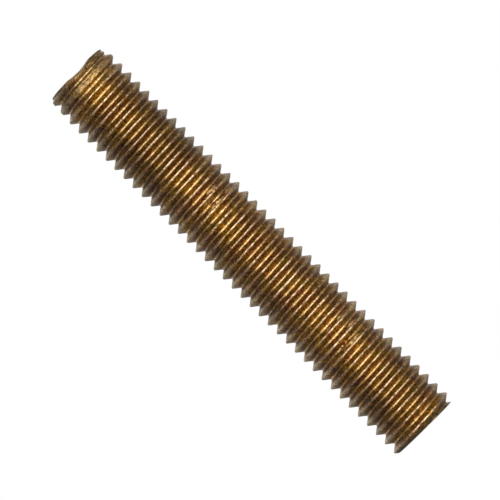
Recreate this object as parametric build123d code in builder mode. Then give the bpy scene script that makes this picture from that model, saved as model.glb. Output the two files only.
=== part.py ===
from build123d import *
import os
from math import ceil, cos, radians, sin, sqrt, tan

# Threaded rod: a short length of M8 brass screw rod with a right-hand thread from end to end.
# It stands on its sawn foot with +Z along its axis, and its origin is the middle of the foot.
# The foot is a sharp, square cut. The other end is worn round and bruised on one side.
# All sizes are in millimetres and all angles in degrees.

# ---- thread: ISO metric form, M8 coarse ----
major_diameter = 7.78  # M8 at the small end of class 6g
pitch = 1.25
flank_angle = 30.0  # each flank's slope from a plane square to the axis
crest_flat = pitch / 8
first_root_height = 0.415  # the groove's middle on the +X side, above the foot

# ---- rod ----
rod_length = 48.7

# ---- worn end ----
wear_run = 1.0  # the crests lose height over this length, up to the rounded corner
wear_depth = 0.12  # height that they have lost where the rounded corner starts
corner_radius = 0.58

# ---- bruise: a flat knocked into the worn end's rim ----
bruise_facing = 6.0  # the side of the rod it is on, from +X
bruise_length = 0.56  # along the rod, from the end
bruise_depth = 0.57  # below the unworn crests

# ---- worked out from the sizes above ----
major_radius = major_diameter / 2
sharp_height = pitch * sqrt(3) / 2  # height of the thread's full, sharp triangle
thread_depth = sharp_height * 17 / 24  # crest to root of an external ISO thread
half_mouth = (pitch - crest_flat) / 2  # half of the groove's width at the crests
half_floor = half_mouth - thread_depth * tan(radians(flank_angle))
tool_reach = pitch / 20  # the cutting tool stands this far out of the groove
half_tool = half_mouth + tool_reach * tan(radians(flank_angle))

# The groove is cut in stretches of whole turns. It starts below the foot and ends above the rod,
# inside a bar that is longer still, and both ends are cut off afterwards.
longest_stretch = 8
groove_start = first_root_height - 2 * pitch
turns_needed = ceil((rod_length + half_mouth - groove_start) / pitch)
stretch_count = ceil(turns_needed / longest_stretch)
stretch_height = ceil(turns_needed / stretch_count) * pitch
bar_start = groove_start - pitch
bar_end = groove_start + stretch_count * stretch_height + pitch

# What is cut off the ends reaches out to a radius that is clear of the bar.
worn_radius = major_radius - wear_depth
face_radius = worn_radius - corner_radius
corner_height = rod_length - corner_radius
clear_radius = major_radius + pitch
clear_height = corner_height - (clear_radius - worn_radius) * wear_run / wear_depth

os.makedirs("parts", exist_ok=True)

with BuildPart() as threaded_rod:
    # the plain bar
    with BuildSketch(Plane.XY.offset(bar_start)):
        Circle(major_radius)
    extrude(amount=bar_end - bar_start)

    # the thread's groove, cut along a helix
    for stretch in range(stretch_count):
        start = groove_start + stretch * stretch_height
        with BuildLine() as groove_path:
            Helix(pitch, stretch_height, major_radius, center=(0, 0, start))
        groove_plane = Plane(origin=(major_radius, 0, start), x_dir=(1, 0, 0), z_dir=(0, -1, 0))
        with BuildSketch(groove_plane):
            with BuildLine():
                Polyline(
                    (tool_reach, -half_tool),
                    (tool_reach, half_tool),
                    (-thread_depth, half_floor),
                    (-thread_depth, -half_floor),
                    close=True,
                )
            make_face()
        sweep(path=groove_path.line, is_frenet=True, clean=False, mode=Mode.SUBTRACT)

    # both ends sawn off square
    with BuildSketch(Plane.XY):
        Circle(clear_radius)
    extrude(amount=rod_length, clean=False, mode=Mode.INTERSECT)

    # the worn end: lower crests and a rounded corner
    with BuildSketch(Plane.XZ):
        with BuildLine():
            Polyline(
                (face_radius, rod_length),
                (face_radius, rod_length + pitch),
                (clear_radius, rod_length + pitch),
                (clear_radius, clear_height),
                (worn_radius, corner_height),
            )
            CenterArc((face_radius, corner_height), corner_radius, 0, 90)
        make_face()
    revolve(axis=Axis.Z, clean=False, mode=Mode.SUBTRACT)

    # the bruise
    outwards = Vector(cos(radians(bruise_facing)), sin(radians(bruise_facing)), 0)
    bruise_middle = outwards * (major_radius - bruise_depth)
    bruise_middle += Vector(0, 0, rod_length - bruise_length / 2)
    with BuildSketch(Plane(origin=bruise_middle, x_dir=(0, 0, 1), z_dir=outwards)):
        Rectangle(bruise_length, major_diameter)
    extrude(amount=pitch, clean=False, mode=Mode.SUBTRACT)

threaded_rod.part.label = "threaded_rod"
export_step(threaded_rod.part, "parts/threaded_rod.step")
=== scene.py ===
"""Dresses the threaded rod in its worn thread and tarnished brass, and sets its studio.

The rod stands on its sawn foot, with +Z along its axis. The frame, the meshes and the studio are
in metres. The rod's sizes and wear are in millimetres, and so is each name that ends in _mm.
Angles and facings are in degrees, and a facing is measured from +X towards +Y.
"""

from math import atan2, cos, degrees, exp, hypot, pi, radians, sin, sqrt, tan

import bmesh
import bpy
from bpy.props import FloatProperty, FloatVectorProperty, IntProperty, PointerProperty
from mathutils import Matrix, Vector, noise


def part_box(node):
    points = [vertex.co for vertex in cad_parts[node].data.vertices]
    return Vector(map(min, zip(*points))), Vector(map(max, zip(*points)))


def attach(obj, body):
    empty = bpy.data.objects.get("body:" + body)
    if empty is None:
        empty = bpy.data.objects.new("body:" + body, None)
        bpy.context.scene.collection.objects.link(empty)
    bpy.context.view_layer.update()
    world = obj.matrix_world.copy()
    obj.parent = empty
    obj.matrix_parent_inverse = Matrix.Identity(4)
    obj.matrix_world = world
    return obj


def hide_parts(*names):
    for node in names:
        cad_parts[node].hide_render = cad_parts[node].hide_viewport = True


bl_info = {
    "name": "Threaded Rod",
    "version": (1, 0, 0),
    "blender": (4, 5, 0),
    "location": "3D View > Sidebar > Threaded Rod",
    "description": "Models a short length of worn brass screw rod and the studio it stands in",
    "category": "Add Mesh",
}

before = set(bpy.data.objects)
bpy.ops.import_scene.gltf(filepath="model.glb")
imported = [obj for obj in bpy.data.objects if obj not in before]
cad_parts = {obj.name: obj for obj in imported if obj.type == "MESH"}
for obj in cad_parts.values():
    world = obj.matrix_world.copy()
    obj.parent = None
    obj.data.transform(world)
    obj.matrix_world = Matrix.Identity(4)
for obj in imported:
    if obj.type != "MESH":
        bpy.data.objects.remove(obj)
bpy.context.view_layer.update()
ROD_LOW, ROD_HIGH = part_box("threaded_rod")

MM = 0.001
MERGE = 0.002 * MM  # points nearer to each other than this are one point
NEAR_MM = 1e-4  # a point this near to a height or to the axis is at it
END_RINGS = 8  # rings of faces in each sawn end
SHARP_ANGLE = 48  # an edge that folds more than this looks sharp
SENSOR_MM = 36.0
VIEW_LEAN = 45.43  # degrees the rod leans in the view
ROD_LENGTH_MM = (ROD_HIGH.z - ROD_LOW.z) / MM
CREST_RADIUS_MM = (ROD_HIGH.x - ROD_LOW.x) / 2 / MM


# ---- helpers ----


def linear(hex_colour):
    """An sRGB hex colour as linear red, green, blue and full alpha."""
    channels = [int(hex_colour[i : i + 2], 16) / 255 for i in (1, 3, 5)]
    return [c / 12.92 if c <= 0.04045 else ((c + 0.055) / 1.055) ** 2.4 for c in channels] + [1.0]


def add_node(tree, kind, inputs=None, **settings):
    """Adds a node with its settings, and links or sets its inputs by name or number."""
    node = tree.nodes.new(kind)
    for name, value in settings.items():
        setattr(node, name, value)
    for key, value in (inputs or {}).items():
        if isinstance(value, bpy.types.NodeSocket):
            tree.links.new(value, node.inputs[key])
        else:
            node.inputs[key].default_value = value
    return node


def new_material(name):
    """An empty node material and its tree."""
    material = bpy.data.materials.new(name)
    material.use_nodes = True
    material.node_tree.nodes.clear()
    return material, material.node_tree


def finish_piece(bm, name):
    """Puts the finished mesh in an object of its own at the origin."""
    mesh = bpy.data.meshes.new(name)
    bm.to_mesh(mesh)
    bm.free()
    piece = bpy.data.objects.new(name, mesh)
    bpy.context.scene.collection.objects.link(piece)
    return piece


def ease(value):
    """0 below 0, 1 above 1, and a smooth step between."""
    value = min(max(value, 0.0), 1.0)
    return value * value * (3 - 2 * value)


def uneven(place, per_mm):
    """Smooth noise from about -1 to 1, with this many swells in a millimetre."""
    return noise.noise(place * per_mm)


# ---- sizes and colours that a user would change ----


class RodSizes(bpy.types.PropertyGroup):
    """The rod's thread, in millimetres."""

    pitch: FloatProperty(name="Pitch", description="Distance from crest to crest, in mm", default=1.25)
    depth: FloatProperty(name="Thread depth", description="Crest to root, in mm", default=0.66)
    crest_flat: FloatProperty(name="Crest flat", description="Width of each crest, in mm", default=0.13)
    crest_round: FloatProperty(
        name="Crest rounding", description="How far each crest corner is eased, in mm", default=0.03
    )
    flank_angle: FloatProperty(
        name="Worn flank angle", description="From square to the axis, in degrees", default=36.5
    )
    first_crest: FloatProperty(
        name="First crest", description="Height of the first crest on the +X side, in mm", default=0.96
    )
    steps: IntProperty(name="Steps", description="Faces around one turn", default=128)


class RodWear(bpy.types.PropertyGroup):
    """How worn the rod is, in millimetres."""

    corner: FloatProperty(name="Corner", description="Radius worn on the upper end's corner", default=0.58)
    lost: FloatProperty(
        name="Lost crest", description="Height lost by the crests near the upper end", default=0.12
    )
    wander: FloatProperty(name="Crest wander", description="How far the crests rise and fall", default=0.05)
    sway: FloatProperty(name="Crest sway", description="How far the crests lean along the rod", default=0.02)
    grain: FloatProperty(name="Flank grain", description="Roughness left on the flanks", default=0.008)


class BrassColours(bpy.types.PropertyGroup):
    """The colours of old, handled brass."""

    # Bare brass on the crests. The name also serves the mask that paints the bare lines bright in the strips
    # front and back and faint toward the view's sides.
    rubbed: FloatVectorProperty(
        name="Rubbed brass", description="Where the crests are handled", subtype="COLOR", size=4,
        default=linear("#DCBB96"),
    )
    golden: FloatVectorProperty(
        name="Golden brass", description="In the roots", subtype="COLOR", size=4,
        default=linear("#DFBE88"),
    )
    brown: FloatVectorProperty(
        name="Brown tarnish", description="On the flanks", subtype="COLOR", size=4,
        default=linear("#9A7322"),
    )
    russet: FloatVectorProperty(
        name="Russet tarnish", description="Reddish patches", subtype="COLOR", size=4,
        default=linear("#88592A"),
    )
    olive: FloatVectorProperty(
        name="Olive tarnish", description="Greenish patches", subtype="COLOR", size=4,
        default=linear("#80682A"),
    )
    # Real purple-brown tarnish patches, laid only toward the sides of the view, where they also serve as
    # painted shade.
    plum_and_side_shade: FloatVectorProperty(
        name="Plum tarnish", description="Purple-brown patches", subtype="COLOR", size=4,
        default=linear("#70503C"),
    )
    # Fresh metal, and also the colour of the glint lines painted along the knocked crests.
    bright: FloatVectorProperty(
        name="Fresh brass", description="Where metal was torn or knocked", subtype="COLOR", size=4,
        default=linear("#CDA976"),
    )
    # A painted reflection: grey-olive laid on the ridges at the silhouettes of the view, where the grazing
    # reflection looks grey.
    painted_silhouette_grey: FloatVectorProperty(
        name="Silhouette grey", description="Along the crests at the sides", subtype="COLOR", size=4,
        default=linear("#A29676"),
    )
    # Also darkens a band round the sawn foot.
    grime: FloatVectorProperty(
        name="Grime", description="At the sawn ends", subtype="COLOR", size=4,
        default=linear("#74664E"),
    )


class StudioSettings(bpy.types.PropertyGroup):
    """The studio's camera and lamps."""

    distance: FloatProperty(
        name="Camera distance", description="From the rod's axis", unit="LENGTH", default=0.579
    )
    height: FloatProperty(
        name="Camera height", description="Above the foot", unit="LENGTH", default=0.0166
    )
    aim: FloatProperty(
        name="Camera aim", description="Height it looks at", unit="LENGTH", default=0.02427
    )
    key_power: FloatProperty(name="Key lamp", description="Radiance of the large soft lamp", default=1.65)


# ---- the rod's wear: heights and lengths in mm, facings and reaches in degrees ----

# A blow has spread the upper end's rim on one side, and has left its face hollow on another.
STRUCK_FACING = -15
STRUCK_REACH = 52
HOLLOW_FACING = -88
HOLLOW_REACH = 24
# The face has sunk below the full length, by less where it was struck, and is dished and uneven.
FACE_DROP = 0.34
STRUCK_LIFT = 0.13
HOLLOW_DEPTH = 0.13
CENTRE_DROP = 0.30
DISH = 0.04
FACE_GRAIN = 0.03
# The drop fades out down this much of the rod.
SINK_RUN = 1.1
# The face is this much smaller in radius where it wasn't struck.
FACE_SHRINK = 0.22
# The crests begin to lose height this far below the end, and have lost it after the run.
LOST_START = 3.3
LOST_RUN = 1.2
# Metal pushed over the end fills the last turn of the groove, from this height over the run.
BURR_HEIGHT = 47.7
BURR_RUN = 0.25
BURR_RADIUS = 3.42
BURR_SPREAD = 0.2

# Where knocks have flattened the thread near the upper end: facing and reach either side, lowest and highest
# height, the radius left, and how bright it is left. On the two flats that face the view, at -95 and -78,
# that brightness is partly fresh metal and partly painted highlight.
FLATTENED = (
    (-12, 52, 47.70, 49.0, 3.28, 0.0),
    (-95, 32, 47.75, 49.0, 3.58, 0.35),
    (-78, 44, 46.50, 47.68, 3.52, 0.5),
    (-145, 18, 46.60, 47.60, 3.70, 0.1),
    (150, 30, 47.60, 49.0, 3.55, 0.1),
    (118, 25, 46.50, 47.70, 3.74, 0.1),
)
# Each flat rises by the step over the edge at its top and foot, and over the fade at its two ends,
# and rises away from the middle of its crest by the hollow times the square of the distance in turns.
KNOCK_STEP = 0.4
KNOCK_EDGE = 0.18
KNOCK_FADE = 24
KNOCK_HOLLOW = 2.4

# Fine lines painted bright along the knocked crests, a painted highlight standing for their glint: facing,
# height, and half length round the rod.
PAINTED_GLINT_LINES = (
    (-80, 47.95, 26),
    (-93, 47.21, 15),
    (-93, 46.77, 15),
)
GLINT_HALF_WIDTH = 0.07

# Metal torn up by a seized nut: facing, height, half length round the rod, half width along it, how
# far it fills the groove, and how bright it is left.
TORN_METAL = (
    (-76, 29.74, 19, 0.32, 0.42, 0.6),
    (-43, 29.88, 13, 0.28, 0.35, 0.5),
    (-66, 31.02, 16, 0.28, 0.30, 0.35),
    (-46, 30.81, 3, 0.12, 0.20, 1.0),
    (-99, 29.42, 6, 0.14, 0.05, 1.0),
    (-84, 30.30, 12, 0.25, 0.10, 0.45),
    (-89, 13.44, 6, 0.17, 0.32, 0.8),
    (-63, 13.56, 8, 0.17, 0.28, 0.5),
    (-56, 12.30, 12, 0.20, 0.32, 0.6),
    (-80, 10.99, 24, 0.42, 0.26, 0.5),
    (96, 22.4, 16, 0.34, 0.35, 0.7),
    (61, 35.6, 10, 0.25, 0.30, 0.6),
    (158, 17.9, 12, 0.25, 0.30, 0.6),
)

# Where hands and a nut have kept the brass cleaner, or the film has grown thicker: height, half length
# along the rod, and how much lighter or darker.
HANDLED = (
    (46.6, 2.2, 0.14),
    (38.6, 6.0, -0.19),
    (31.0, 2.6, 0.12),
    (12.4, 2.4, 0.16),
    (5.0, 2.0, -0.06),
    (0.6, 1.6, 0.1),
)

# Nicks in the crests: facing, height, half length round the rod, and depth.
NICKS = (
    (-79, 15.12, 3.0, 0.12),
    (-90, 8.83, 3.0, 0.12),
    (-101, 46.6, 3.5, 0.10),
    (-58, 40.3, 3.0, 0.08),
    (-122, 34.1, 4.0, 0.10),
    (20, 26.2, 4.0, 0.14),
    (75, 9.4, 4.0, 0.12),
    (110, 41.2, 3.5, 0.14),
    (170, 30.4, 4.5, 0.12),
    (-140, 21.3, 3.5, 0.12),
)
NICK_HALF_WIDTH = 0.5


# ---- the rod ----


def thread_profile(bm, sizes):
    """One pitch of the thread's outline on the +X side, from root to root, below the rod's foot."""
    half = sizes.pitch / 2
    start = sizes.first_crest - 2 * sizes.pitch
    crest = CREST_RADIUS_MM
    flat = sizes.crest_flat / 2
    slope = tan(radians(sizes.flank_angle))
    # The round root touches both flanks, which would meet below it.
    below = (half - flat) / slope - sizes.depth
    root_round = below / (1 / sin(radians(sizes.flank_angle)) - 1)
    upper = []
    for part in range(4):
        a = radians(90 - sizes.flank_angle) * part / 3
        upper.append((crest - sizes.depth + root_round * (1 - cos(a)), half - root_round * sin(a)))
    # The flank runs in four parts from the root's round to the eased corner of the crest.
    foot_r, foot_z = upper[-1]
    head_r, head_z = crest - sizes.crest_round, flat + sizes.crest_round * slope
    for part in (0.25, 0.5, 0.75, 1.0):
        upper.append((foot_r + (head_r - foot_r) * part, foot_z + (head_z - foot_z) * part))
    upper.append((crest, flat * 0.7))
    upper.append((crest, 0.0))
    outline = [(r, -z) for r, z in upper] + [(r, z) for r, z in reversed(upper[:-1])]
    verts = [bm.verts.new((r * MM, 0, (start + z) * MM)) for r, z in outline]
    for pair in zip(verts, verts[1:]):
        bm.edges.new(pair)
    return bm.verts[:] + bm.edges[:]


def cut_thread(bm, sizes):
    """Screws the outline once round the axis, and stacks such turns past both ends."""
    bmesh.ops.spin(
        bm,
        geom=thread_profile(bm, sizes),
        cent=(0, 0, 0),
        axis=(0, 0, 1),
        dvec=(0, 0, sizes.pitch * MM / sizes.steps),
        angle=2 * pi,
        steps=sizes.steps,
        use_merge=False,
        use_duplicate=False,
    )
    one_turn = bm.verts[:] + bm.edges[:] + bm.faces[:]
    turns = int(ROD_LENGTH_MM / sizes.pitch) + 4
    for turn in range(1, turns):
        copy = bmesh.ops.duplicate(bm, geom=one_turn)
        verts = [part for part in copy["geom"] if isinstance(part, bmesh.types.BMVert)]
        bmesh.ops.translate(bm, verts=verts, vec=(0, 0, turn * sizes.pitch * MM))
    bmesh.ops.remove_doubles(bm, verts=bm.verts[:], dist=MERGE)


def saw_end(bm, height, outwards):
    """Cuts the screw off square at a height and closes it with a flat face in rings."""
    cut = bmesh.ops.bisect_plane(
        bm,
        geom=bm.verts[:] + bm.edges[:] + bm.faces[:],
        dist=1e-8,
        plane_co=(0, 0, height),
        plane_no=(0, 0, outwards),
        clear_outer=True,
    )
    rim = [e for e in cut["geom_cut"] if isinstance(e, bmesh.types.BMEdge)]
    whole = bmesh.ops.contextual_create(bm, geom=rim)["faces"][0]
    outer = list(whole.verts)
    bm.faces.remove(whole)
    directions = [vert.co.xy.normalized() for vert in outer]
    step = min(vert.co.xy.length for vert in outer) / END_RINGS
    middle = bm.verts.new((0, 0, height))
    for ring in range(END_RINGS - 1, 0, -1):
        inner = [bm.verts.new((*(direction * step * ring), height)) for direction in directions]
        for i in range(len(outer)):
            face = bm.faces.new((outer[i - 1], outer[i], inner[i], inner[i - 1]))
            face.material_index = 1
        outer = inner
    for i in range(len(outer)):
        face = bm.faces.new((outer[i - 1], outer[i], middle))
        face.material_index = 1


def turned(facing, theta):
    """The angle from one facing to another, from -180 to 180 degrees."""
    return (theta - facing + 180) % 360 - 180


def end_drop(theta):
    """How far the worn end's rim has sunk at a facing, in mm."""
    lip = ease((STRUCK_REACH - abs(turned(STRUCK_FACING, theta))) / 14)
    hollow = ease((HOLLOW_REACH - abs(turned(HOLLOW_FACING, theta))) / 12)
    return FACE_DROP - STRUCK_LIFT * lip + HOLLOW_DEPTH * hollow * (1 - lip)


def knock_flat(sizes, place, theta, r):
    """The radius that knocks have left at a place, and how bright it is, partly painted highlight on the
    flats that face the view.
    """
    left = CREST_RADIUS_MM
    shine = 0.0
    for facing, reach, low, high, radius, glow in FLATTENED:
        away = abs(turned(facing, theta))
        if low < place.z < high and away < reach + KNOCK_FADE:
            edge = min(place.z - low, high - place.z)
            turn = (place.z - sizes.first_crest) / sizes.pitch - theta / 360
            flat = radius + KNOCK_HOLLOW * (turn - round(turn)) ** 2 + 0.06 * uneven(place, 2.5)
            flat += KNOCK_STEP * (1 - ease(edge / KNOCK_EDGE))
            flat += KNOCK_STEP * ease((away - reach) / KNOCK_FADE)
            if flat < r:
                left = min(left, flat)
                shine = max(shine, glow + 0.2 * uneven(place, 1.7))
    return left, shine


def paint_glint_lines(sizes, place, theta):
    """How bright the glint lines painted along the knocked crests are at a place: a painted highlight."""
    shine = 0.0
    for facing, middle, reach in PAINTED_GLINT_LINES:
        away = turned(facing, theta)
        along = (place.z - middle - sizes.pitch * away / 360) / GLINT_HALF_WIDTH
        shine = max(shine, 0.9 * exp(-((away / reach) ** 2) - along * along))
    return shine


def tear(sizes, place, theta, r):
    """The radius after metal was torn up or heaped in the groove, and how bright it is."""
    root = CREST_RADIUS_MM - sizes.depth
    shine = 0.0
    for facing, middle, reach, width, fill, glow in TORN_METAL:
        away = turned(facing, theta) / reach
        along = (place.z - middle) / width
        inside = ease(2.2 * (1 - hypot(away, along) + 0.35 * uneven(place, 3.1)))
        if inside > 0:
            heap = root + sizes.depth * (0.72 + 0.3 * uneven(place, 3.5))
            if r < heap:
                r += min(fill, heap - r) * inside
            else:
                r -= 0.12 * fill * inside
            shine = max(shine, glow * inside)
    return r, shine


def nick(place, theta, height, r):
    """The radius after nicks, which cut the crests and spare the roots, and how bright it is."""
    shine = 0.0
    for facing, middle, reach, depth in NICKS:
        away = turned(facing, theta) / reach
        along = (place.z - middle) / NICK_HALF_WIDTH
        if abs(away) < 2.5 and abs(along) < 1.5:
            dent = exp(-away * away - along * along) * height
            r -= depth * dent
            shine = max(shine, 0.6 * dent)
    return r, shine


def stain(place, top, struck):
    """How grimy a place is along the worn rim and round the upper end, and how far a band 0.4 mm tall at the
    sawn foot is darkened in the grime colour.
    """
    rim = ease((place.z - (top - 0.3)) / 0.2) * (0.5 + 0.5 * struck + 0.6 * uneven(place, 2.2))
    end = ease((place.z - (top - 2.6)) / 1.2) * (0.28 + 0.4 * uneven(place, 1.1))
    # A band round the sawn foot, darkened in the grime colour.
    foot = ease((0.40 - place.z) / 0.14) * (0.85 + 0.4 * uneven(place, 1.5))
    return min(max(rim, end, foot, 0.0), 1.0)


def wear_down(bm, sizes, wear):
    """Rounds, lowers, knocks and tears the thread as use has done, and marks each point's look.

    The marks are how bright the metal is left, with glint lines painted along the knocked crests, how grimy
    it is, with a band at the sawn foot darkened in the grime colour, and its tone, which is 1 where nothing
    has made it lighter or darker.
    """
    bright = bm.verts.layers.float.new("bright")
    grime = bm.verts.layers.float.new("grime")
    tone = bm.verts.layers.float.new("tone")
    top = ROD_HIGH.z / MM
    root = CREST_RADIUS_MM - sizes.depth
    worn = CREST_RADIUS_MM - wear.lost
    for vert in bm.verts:
        x, y, z = vert.co / MM
        start = hypot(x, y)
        if start < NEAR_MM:
            # The middle of an end.
            vert[grime] = 0.4
            vert[tone] = 1.0
            vert.co.z -= (CENTRE_DROP + DISH + FACE_GRAIN / 2) * MM if z > top / 2 else 0
            continue
        theta = degrees(atan2(y, x))
        place = Vector((x, y, z))
        height = min(max((start - root) / sizes.depth, 0.0), 1.0)

        # The crests wander and lean a little, and the flanks keep some grain.
        sway = wear.sway * noise.noise(place * 0.8 + Vector((7, 0, 0))) * height
        r = start + wear.wander * (uneven(place, 0.7) - 0.25) * height * height
        r += wear.grain * uneven(place, 5.0)

        # Crests near the upper end have lost height, and its corner is round.
        limit = CREST_RADIUS_MM - wear.lost * ease((z - (top - LOST_START)) / LOST_RUN)
        drop = end_drop(theta)
        near_top = ease((z - (top - SINK_RUN)) / SINK_RUN)
        sunk = z - drop * near_top
        below_face = top - drop - sunk
        struck = ease((STRUCK_REACH - abs(turned(STRUCK_FACING, theta))) / 20)
        face_radius = worn - wear.corner - FACE_SHRINK * (1 - struck)
        rise = min(1 - below_face / wear.corner, 1.0)
        if rise > 0:
            limit = min(limit, face_radius + (worn - face_radius) * sqrt(1 - rise * rise))

        # Knocks, the painted glint lines along the knocked crests, the burr in the last turn of the groove,
        # torn metal and nicks.
        flat, knock_shine = knock_flat(sizes, place, theta, r)
        limit = min(limit, flat)
        burred = ease((sunk - BURR_HEIGHT + BURR_SPREAD * struck) / BURR_RUN)
        burr = BURR_RADIUS - BURR_SPREAD * struck + (0.05 + 0.06 * struck) * uneven(place, 3.0)
        r = max(r, burr * burred)
        r, tear_shine = tear(sizes, place, theta, r)
        r, nick_shine = nick(place, theta, height, r)
        shine = max(knock_shine, paint_glint_lines(sizes, place, theta), tear_shine, nick_shine)

        # The worn face has sunk unevenly. Its rim moves with the thread, and the rest is dished.
        lower = drop * near_top
        if z > top - NEAR_MM and all(face.material_index for face in vert.link_faces):
            share = start / root
            r = face_radius * share
            lower = CENTRE_DROP + (drop - CENTRE_DROP) * share ** 2 + DISH * (1 - share)
            lower += FACE_GRAIN * (uneven(place, 1.3) + 0.5) * ease(5 * (1 - share))
        r = min(r, limit)
        vert.co.x *= r / start
        vert.co.y *= r / start
        vert.co.z += (sway * (1 - near_top) * ease(z) - lower) * MM

        # The struck side of the rim is blackened, with specks of bare metal just inside it.
        blackened = 0.75 * struck * ease((0.16 - below_face) / 0.08)
        speck = struck * ease((0.42 - below_face) / 0.1) * ease((uneven(place, 3.3) - 0.1) / 0.1)
        shine = max(shine, 0.8 * speck - blackened)
        lighter = sum(by * exp(-(((z - middle) / half) ** 2)) for middle, half, by in HANDLED)
        vert[bright] = max(shine, 0.0)
        vert[grime] = stain(place, top, struck)
        vert[tone] = 0.96 + lighter - blackened - 0.15 * shine + 0.1 * uneven(place, 0.35)


class MESH_OT_threaded_rod(bpy.types.Operator):
    """Model the worn rod with its thread"""

    bl_idname = "mesh.threaded_rod_add"
    bl_label = "Threaded Rod"

    def execute(self, context):
        sizes = context.scene.rod_sizes
        colours = context.scene.brass_colours
        bm = bmesh.new()
        cut_thread(bm, sizes)
        saw_end(bm, ROD_HIGH.z, 1)
        saw_end(bm, ROD_LOW.z, -1)
        bmesh.ops.remove_doubles(bm, verts=bm.verts[:], dist=MERGE)
        wear_down(bm, sizes, context.scene.rod_wear)
        bmesh.ops.recalc_face_normals(bm, faces=bm.faces[:])
        for face in bm.faces:
            face.smooth = True
        piece = finish_piece(bm, "screw_rod")
        piece.data.set_sharp_from_angle(angle=radians(SHARP_ANGLE))
        piece.data.materials.append(tarnished_brass(sizes, colours))
        piece.data.materials.append(sawn_brass(colours))
        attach(piece, "root")
        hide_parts("threaded_rod")
        return {"FINISHED"}


# ---- materials ----


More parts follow.
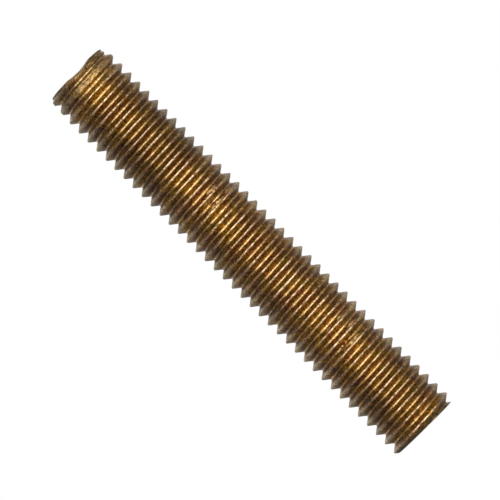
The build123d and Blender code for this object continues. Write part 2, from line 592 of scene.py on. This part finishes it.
def tarnished_brass(sizes, colours):
    """Screw-cut brass, tarnished in a drawer: a brown film on the flanks, and lines of bare metal."""
    material, tree = new_material("Tarnished brass")
    place = add_node(tree, "ShaderNodeTexCoord").outputs["Object"]
    parts = add_node(tree, "ShaderNodeSeparateXYZ", {"Vector": place})
    across = add_node(tree, "ShaderNodeVectorMath", {0: place, 1: (1, 1, 0)}, operation="MULTIPLY")
    radius = add_node(tree, "ShaderNodeVectorMath", {0: across.outputs[0]}, operation="LENGTH")
    radius = radius.outputs["Value"]
    # How far a place is, left or right across the view, from the middle of the strips front and back, which
    # face the camera and face away from it. The painted side shade and the painted silhouette grey have
    # middles a little apart.
    aside = {}
    for name, middle_mm in (("painted_side_shade", 0.3), ("painted_silhouette_grey", 0.15)):
        away = add_node(
            tree, "ShaderNodeMath", {0: parts.outputs["X"], 1: middle_mm * MM}, operation="SUBTRACT"
        )
        aside[name] = add_node(
            tree, "ShaderNodeMath", {0: away.outputs[0]}, operation="ABSOLUTE"
        ).outputs[0]
    bright = add_node(tree, "ShaderNodeAttribute", attribute_name="bright").outputs["Fac"]
    grime = add_node(tree, "ShaderNodeAttribute", attribute_name="grime").outputs["Fac"]
    tone = add_node(tree, "ShaderNodeAttribute", attribute_name="tone").outputs["Fac"]

    # Cloudy patches drawn out round the rod: how far across they are in mm, an offset that sets each
    # apart from the others, and the detail. The film grew in patches about a millimetre across, and
    # the bare lines break up every half millimetre or so.
    clouds = {}
    for name, size_mm, offset, detail in (
        ("brown", 2.4, 0.0, 3.0),
        ("olive", 1.2, 0.01, 3.0),
        ("plum_and_side_shade", 1.5, 0.02, 3.0),
        ("crest breaks", 0.55, 0.03, 3.0),
        ("root breaks", 1.1, 0.04, 3.0),
        ("shade", 0.5, 0.07, 2.0),
    ):
        drawn = add_node(
            tree, "ShaderNodeMapping", {"Vector": place, "Location": (offset, 0, 0), "Scale": (1, 1, 1.6)}
        )
        cloud = add_node(
            tree, "ShaderNodeTexNoise",
            {"Vector": drawn.outputs[0], "Scale": 1 / (size_mm * MM), "Detail": detail, "Roughness": 0.6},
        )
        clouds[name] = cloud.outputs["Fac"]
    # Specks of dirt and film, 0.2 mm across.
    specks = add_node(
        tree, "ShaderNodeTexNoise", {"Vector": place, "Scale": 1 / (0.2 * MM), "Detail": 2.0}
    ).outputs["Fac"]

    # Masks, each rising smoothly from 0 to 1 between two values. The strips front and back are painted
    # brighter than the sides of the view between them, as painted highlight and shade. Grey is painted on
    # the ridges at the view's silhouettes as a painted reflection. The burred-over roots at the worn end
    # have no bare line.
    crest_radius = CREST_RADIUS_MM * MM
    depth = sizes.depth * MM
    masks = {}
    for name, value, low, high in (
        ("crest", radius, crest_radius - 0.13 * depth, crest_radius - 0.045 * depth),
        ("root", radius, crest_radius - 0.84 * depth, crest_radius - 0.95 * depth),
        ("ridge", radius, crest_radius - 0.6 * depth, crest_radius - 0.1 * depth),
        # Painted shade: 0 in the strips front and back, rising to 1 toward the sides of the view.
        ("painted_side_shade", aside["painted_side_shade"], 1.2 * MM, 2.4 * MM),
        ("side", aside["painted_silhouette_grey"], 2.3 * MM, 3.4 * MM),
        ("unburred", parts.outputs["Z"], ROD_HIGH.z - 0.85 * MM, ROD_HIGH.z - 0.95 * MM),
        ("brown", clouds["brown"], 0.42, 0.58),
        ("olive", clouds["olive"], 0.52, 0.64),
        ("plum_and_side_shade", clouds["plum_and_side_shade"], 0.40, 0.6),
        ("crest breaks", clouds["crest breaks"], 0.30, 0.58),
        ("root breaks", clouds["root breaks"], 0.15, 0.5),
    ):
        step = add_node(
            tree, "ShaderNodeMapRange", {"Value": value, "From Min": low, "From Max": high},
            interpolation_type="SMOOTHSTEP",
        )
        masks[name] = step.outputs[0]

    # The bare lines are painted bright in the strips front and back and fade to 0.35 toward the sides of the
    # view: painted highlight and shade. Each mask below is a product of masks.
    masks["rubbed"] = add_node(
        tree, "ShaderNodeMapRange", {"Value": masks["painted_side_shade"], "To Min": 1.0, "To Max": 0.35}
    ).outputs[0]
    for name, factors in (
        # Plum patches kept to the sides of the view: real tarnish colour, placed there as painted shade.
        ("plum_and_side_shade", (masks["plum_and_side_shade"], masks["painted_side_shade"])),
        ("crest", (masks["crest"], masks["crest breaks"], masks["rubbed"])),
        ("root", (masks["root"], masks["root breaks"], masks["unburred"], masks["rubbed"])),
        # Painted reflection: grey on the ridges at the silhouettes of the view.
        ("painted_silhouette_grey", (masks["ridge"], masks["side"], 0.6)),
    ):
        product = factors[0]
        for factor in factors[1:]:
            product = add_node(
                tree, "ShaderNodeMath", {0: product, 1: factor}, operation="MULTIPLY"
            ).outputs[0]
        masks[name] = product
    lines = add_node(
        tree, "ShaderNodeMath", {0: masks["crest"], 1: masks["root"]}, operation="MAXIMUM"
    ).outputs[0]
    bare = add_node(tree, "ShaderNodeMath", {0: lines, 1: bright}, operation="MAXIMUM").outputs[0]

    # The film on the flanks, layer over layer, then its specks, then the grey painted at the view's
    # silhouettes and what lies bare or on top of it.
    speckled = add_node(
        tree, "ShaderNodeMapRange",
        {"Value": specks, "From Min": 0.36, "From Max": 0.64, "To Min": 0.56, "To Max": 1.35},
    )
    colour = list(colours.russet)
    for blend, factor, layer in (
        ("MIX", masks["brown"], list(colours.brown)),
        ("MIX", masks["olive"], list(colours.olive)),
        ("MIX", masks["plum_and_side_shade"], list(colours.plum_and_side_shade)),
        ("MULTIPLY", 1.0, speckled.outputs[0]),
        ("MIX", masks["painted_silhouette_grey"], list(colours.painted_silhouette_grey)),
        ("MIX", masks["root"], list(colours.golden)),
        ("MIX", masks["crest"], list(colours.rubbed)),
        ("MIX", bright, list(colours.bright)),
        ("MIX", grime, list(colours.grime)),
    ):
        mix = add_node(
            tree, "ShaderNodeMix", {"Factor": factor, "A": colour, "B": layer}, data_type="RGBA",
            blend_type=blend,
        )
        colour = mix.outputs["Result"]

    # Fainter specks and cloudy shading half a millimetre across, over everything.
    fainter = add_node(
        tree, "ShaderNodeMapRange",
        {"Value": specks, "From Min": 0.36, "From Max": 0.64, "To Min": 0.58, "To Max": 1.38},
    )
    tone = add_node(
        tree, "ShaderNodeMath", {0: tone, 1: fainter.outputs[0]}, operation="MULTIPLY"
    ).outputs[0]
    darker = add_node(tree, "ShaderNodeMath", {0: tone, 1: 0.7}, operation="MULTIPLY")
    lighter = add_node(tree, "ShaderNodeMath", {0: tone, 1: 1.25}, operation="MULTIPLY")
    shade = add_node(
        tree, "ShaderNodeMapRange",
        {"Value": clouds["shade"], "From Min": 0.3, "From Max": 0.7, "To Min": darker.outputs[0],
         "To Max": lighter.outputs[0]},
    )
    shaded = add_node(
        tree, "ShaderNodeMix", {"Factor": 1.0, "A": colour, "B": shade.outputs[0]}, data_type="RGBA",
        blend_type="MULTIPLY",
    )
    # The same mask also turns the metal down toward the sides of the view, as part of the painted shade
    # there.
    film = add_node(tree, "ShaderNodeMapRange", {"Value": masks["painted_side_shade"], "To Min": 0.92, "To Max": 0.7})
    metal = add_node(tree, "ShaderNodeMapRange", {"Value": bare, "To Min": film.outputs[0], "To Max": 0.93})
    rough = add_node(tree, "ShaderNodeMapRange", {"Value": lines, "To Min": 0.45, "To Max": 0.27})
    pitted = add_node(tree, "ShaderNodeMapRange", {"Value": lines, "To Min": 0.7, "To Max": 0.2})
    bump = add_node(
        tree, "ShaderNodeBump", {"Height": specks, "Strength": pitted.outputs[0], "Distance": 0.02 * MM}
    )
    surface = add_node(
        tree, "ShaderNodeBsdfPrincipled",
        {
            "Base Color": shaded.outputs["Result"],
            "Metallic": metal.outputs[0],
            "Roughness": rough.outputs[0],
            "Sheen Weight": 0.1,
            "Sheen Roughness": 0.3,
            "Normal": bump.outputs[0],
        },
    )
    add_node(tree, "ShaderNodeOutputMaterial", {"Surface": surface.outputs[0]})
    return material


def sawn_brass(colours):
    """Brass sawn across and tarnished since: saw marks in one direction, with grime in them."""
    material, tree = new_material("Sawn brass")
    place = add_node(tree, "ShaderNodeTexCoord").outputs["Object"]
    turn = add_node(tree, "ShaderNodeMapping", {"Vector": place, "Rotation": (0, 0, radians(25))})
    # Saw teeth leave marks about 0.2 mm apart. The film and the grime lie in cloudy patches over them.
    noises = []
    for source, offset, stretch, size_mm, roughness in (
        (turn.outputs[0], 0.0, (1, 0.06, 1), 0.2, 0.5),
        (place, 0.05, (1, 1, 1.6), 1.8, 0.6),
        (place, 0.06, (1, 1, 1.6), 0.8, 0.6),
    ):
        drawn = add_node(
            tree, "ShaderNodeMapping", {"Vector": source, "Location": (offset, 0, 0), "Scale": stretch}
        )
        grain = add_node(
            tree, "ShaderNodeTexNoise",
            {"Vector": drawn.outputs[0], "Scale": 1 / (size_mm * MM), "Detail": 3.0, "Roughness": roughness},
        )
        noises.append(grain.outputs["Fac"])
    marks, film, dirt = noises
    colour = list(colours.brown)
    for value, low, high, layer in (
        (film, 0.4, 0.6, colours.olive),
        (marks, 0.42, 0.75, colours.rubbed),
        (dirt, 0.5, 0.7, colours.grime),
    ):
        mask = add_node(
            tree, "ShaderNodeMapRange", {"Value": value, "From Min": low, "From Max": high},
            interpolation_type="SMOOTHSTEP",
        )
        mix = add_node(
            tree, "ShaderNodeMix", {"Factor": mask.outputs[0], "A": colour, "B": list(layer)},
            data_type="RGBA",
        )
        colour = mix.outputs["Result"]
    bump = add_node(tree, "ShaderNodeBump", {"Height": marks, "Strength": 0.6, "Distance": 0.03 * MM})
    surface = add_node(
        tree, "ShaderNodeBsdfPrincipled",
        {"Base Color": colour, "Metallic": 0.75, "Roughness": 0.42, "Normal": bump.outputs[0]},
    )
    add_node(tree, "ShaderNodeOutputMaterial", {"Surface": surface.outputs[0]})
    return material


# ---- the studio ----


def stage_floor():
    """A round floor of pale paper, which keeps the rod's shadow."""
    bm = bmesh.new()
    bmesh.ops.create_circle(bm, cap_ends=True, segments=96, radius=0.3)
    floor = finish_piece(bm, "floor")
    material, tree = new_material("Pale paper")
    path = add_node(tree, "ShaderNodeLightPath")
    paper = add_node(tree, "ShaderNodeBsdfDiffuse", {"Color": linear("#F4F4F2")})
    # The paper looks white, and darker only in the rod's shadow.
    glow = add_node(tree, "ShaderNodeEmission", {"Color": (1, 1, 1, 1), "Strength": 1.25})
    seen = add_node(
        tree, "ShaderNodeMath", {0: path.outputs["Is Camera Ray"], 1: 0.7}, operation="MULTIPLY"
    )
    mix = add_node(
        tree, "ShaderNodeMixShader", {0: seen.outputs[0], 1: paper.outputs[0], 2: glow.outputs[0]}
    )
    add_node(tree, "ShaderNodeOutputMaterial", {"Surface": mix.outputs[0]})
    floor.data.materials.append(material)


def stage_world(scene):
    """White behind the rod and in its reflections, and half as much light all round."""
    world = bpy.data.worlds.new("Studio")
    world.use_nodes = True
    tree = world.node_tree
    tree.nodes.clear()
    path = add_node(tree, "ShaderNodeLightPath")
    seen = add_node(
        tree, "ShaderNodeMath", {0: path.outputs["Is Camera Ray"], 1: path.outputs["Is Glossy Ray"]},
        operation="MAXIMUM",
    )
    seen = add_node(
        tree, "ShaderNodeMath", {0: seen.outputs[0], 1: path.outputs["Is Transmission Ray"]},
        operation="MAXIMUM",
    )
    strength = add_node(tree, "ShaderNodeMapRange", {"Value": seen.outputs[0], "To Min": 0.5, "To Max": 1.0})
    sky = add_node(tree, "ShaderNodeBackground", {"Color": (1, 1, 1, 1), "Strength": strength.outputs[0]})
    add_node(tree, "ShaderNodeOutputWorld", {"Surface": sky.outputs[0]})
    scene.world = world


def soft_lamp(name, azimuth, elevation, distance, width, tall, radiance):
    """A rectangular soft lamp that faces the rod's middle. Azimuth runs from -Y towards +X."""
    lamp = bpy.data.lights.new(name, "AREA")
    lamp.shape = "RECTANGLE"
    lamp.size = width
    lamp.size_y = tall
    lamp.energy = radiance * width * tall * pi
    lamp_object = bpy.data.objects.new(name, lamp)
    middle = Vector((0, 0, ROD_HIGH.z / 2))
    a, e = radians(azimuth), radians(elevation)
    direction = Vector((sin(a) * cos(e), -cos(a) * cos(e), sin(e)))
    lamp_object.location = middle + direction * distance
    lamp_object.rotation_euler = direction.to_track_quat("Z", "Y").to_euler()
    bpy.context.scene.collection.objects.link(lamp_object)


def flag(name, azimuth, distance, width, tall, colour):
    """A card that keeps the white room off one side of the rod. It casts no shadow."""
    bm = bmesh.new()
    bmesh.ops.create_grid(bm, x_segments=1, y_segments=1, size=0.5)
    bmesh.ops.scale(bm, verts=bm.verts[:], vec=(width, tall, 1))
    a = radians(azimuth)
    direction = Vector((sin(a), -cos(a), 0))
    turn = direction.to_track_quat("Z", "Y").to_matrix().to_4x4()
    move = Matrix.Translation(Vector((0, 0, ROD_HIGH.z / 2)) + direction * distance)
    bmesh.ops.transform(bm, matrix=move @ turn, verts=bm.verts[:])
    card = finish_piece(bm, name)
    material, tree = new_material(name)
    shade = add_node(tree, "ShaderNodeEmission", {"Color": linear(colour), "Strength": 1.0})
    add_node(tree, "ShaderNodeOutputMaterial", {"Surface": shade.outputs[0]})
    card.data.materials.append(material)
    card.visible_camera = False
    card.visible_shadow = False


def stage_camera(scene, studio):
    """A long lens that looks across the rod, rolled so that the rod lies along a diagonal."""
    lean = radians(VIEW_LEAN)
    camera = bpy.data.cameras.new("Camera")
    # The view is as wide as the rod is long.
    camera.sensor_width = SENSOR_MM
    camera.lens = SENSOR_MM * studio.distance / ROD_HIGH.z
    camera.clip_start = 0.01
    camera.clip_end = 10.0
    camera_object = bpy.data.objects.new("Camera", camera)
    place = Vector((0, -studio.distance, studio.height))
    aim = Vector((0, 0, studio.aim))
    back = (place - aim).normalized()
    up = Vector((cos(lean), 0, sin(lean)))
    right = up.cross(back).normalized()
    up = back.cross(right)
    turn = Matrix((right, up, back)).transposed().to_4x4()
    camera_object.matrix_world = Matrix.Translation(place) @ turn
    scene.collection.objects.link(camera_object)
    scene.camera = camera_object


class SCENE_OT_rod_studio(bpy.types.Operator):
    """Set the floor, the lamps, the white room and the camera"""

    bl_idname = "scene.rod_studio_add"
    bl_label = "Studio"

    def execute(self, context):
        scene = context.scene
        studio = scene.studio_settings
        stage_floor()
        stage_world(scene)
        soft_lamp(
            "Key lamp", azimuth=11, elevation=10, distance=0.8, width=1.42, tall=0.9,
            radiance=studio.key_power,
        )
        flag("Dark card left", azimuth=-69, distance=0.5, width=0.79, tall=1.2, colour="#18141A")
        flag("Grey card right", azimuth=103, distance=0.5, width=1.0, tall=1.2, colour="#B4AEA0")
        stage_camera(scene, studio)
        scene.view_settings.view_transform = "Standard"
        return {"FINISHED"}


class VIEW3D_PT_threaded_rod(bpy.types.Panel):
    """The rod's operators and settings"""

    bl_label = "Threaded Rod"
    bl_space_type = "VIEW_3D"
    bl_region_type = "UI"
    bl_category = "Threaded Rod"

    def draw(self, context):
        layout = self.layout
        for settings in (
            context.scene.rod_sizes,
            context.scene.rod_wear,
            context.scene.brass_colours,
            context.scene.studio_settings,
        ):
            for name in settings.__annotations__:
                layout.prop(settings, name)
        layout.operator(MESH_OT_threaded_rod.bl_idname)
        layout.operator(SCENE_OT_rod_studio.bl_idname)


CLASSES = (
    RodSizes,
    RodWear,
    BrassColours,
    StudioSettings,
    MESH_OT_threaded_rod,
    SCENE_OT_rod_studio,
    VIEW3D_PT_threaded_rod,
)


def register():
    for cls in CLASSES:
        bpy.utils.register_class(cls)
    bpy.types.Scene.rod_sizes = PointerProperty(type=RodSizes)
    bpy.types.Scene.rod_wear = PointerProperty(type=RodWear)
    bpy.types.Scene.brass_colours = PointerProperty(type=BrassColours)
    bpy.types.Scene.studio_settings = PointerProperty(type=StudioSettings)


def unregister():
    del bpy.types.Scene.studio_settings
    del bpy.types.Scene.brass_colours
    del bpy.types.Scene.rod_wear
    del bpy.types.Scene.rod_sizes
    for cls in reversed(CLASSES):
        bpy.utils.unregister_class(cls)


def main():
    register()
    bpy.ops.mesh.threaded_rod_add()
    bpy.ops.scene.rod_studio_add()


if __name__ == "__main__":
    main()
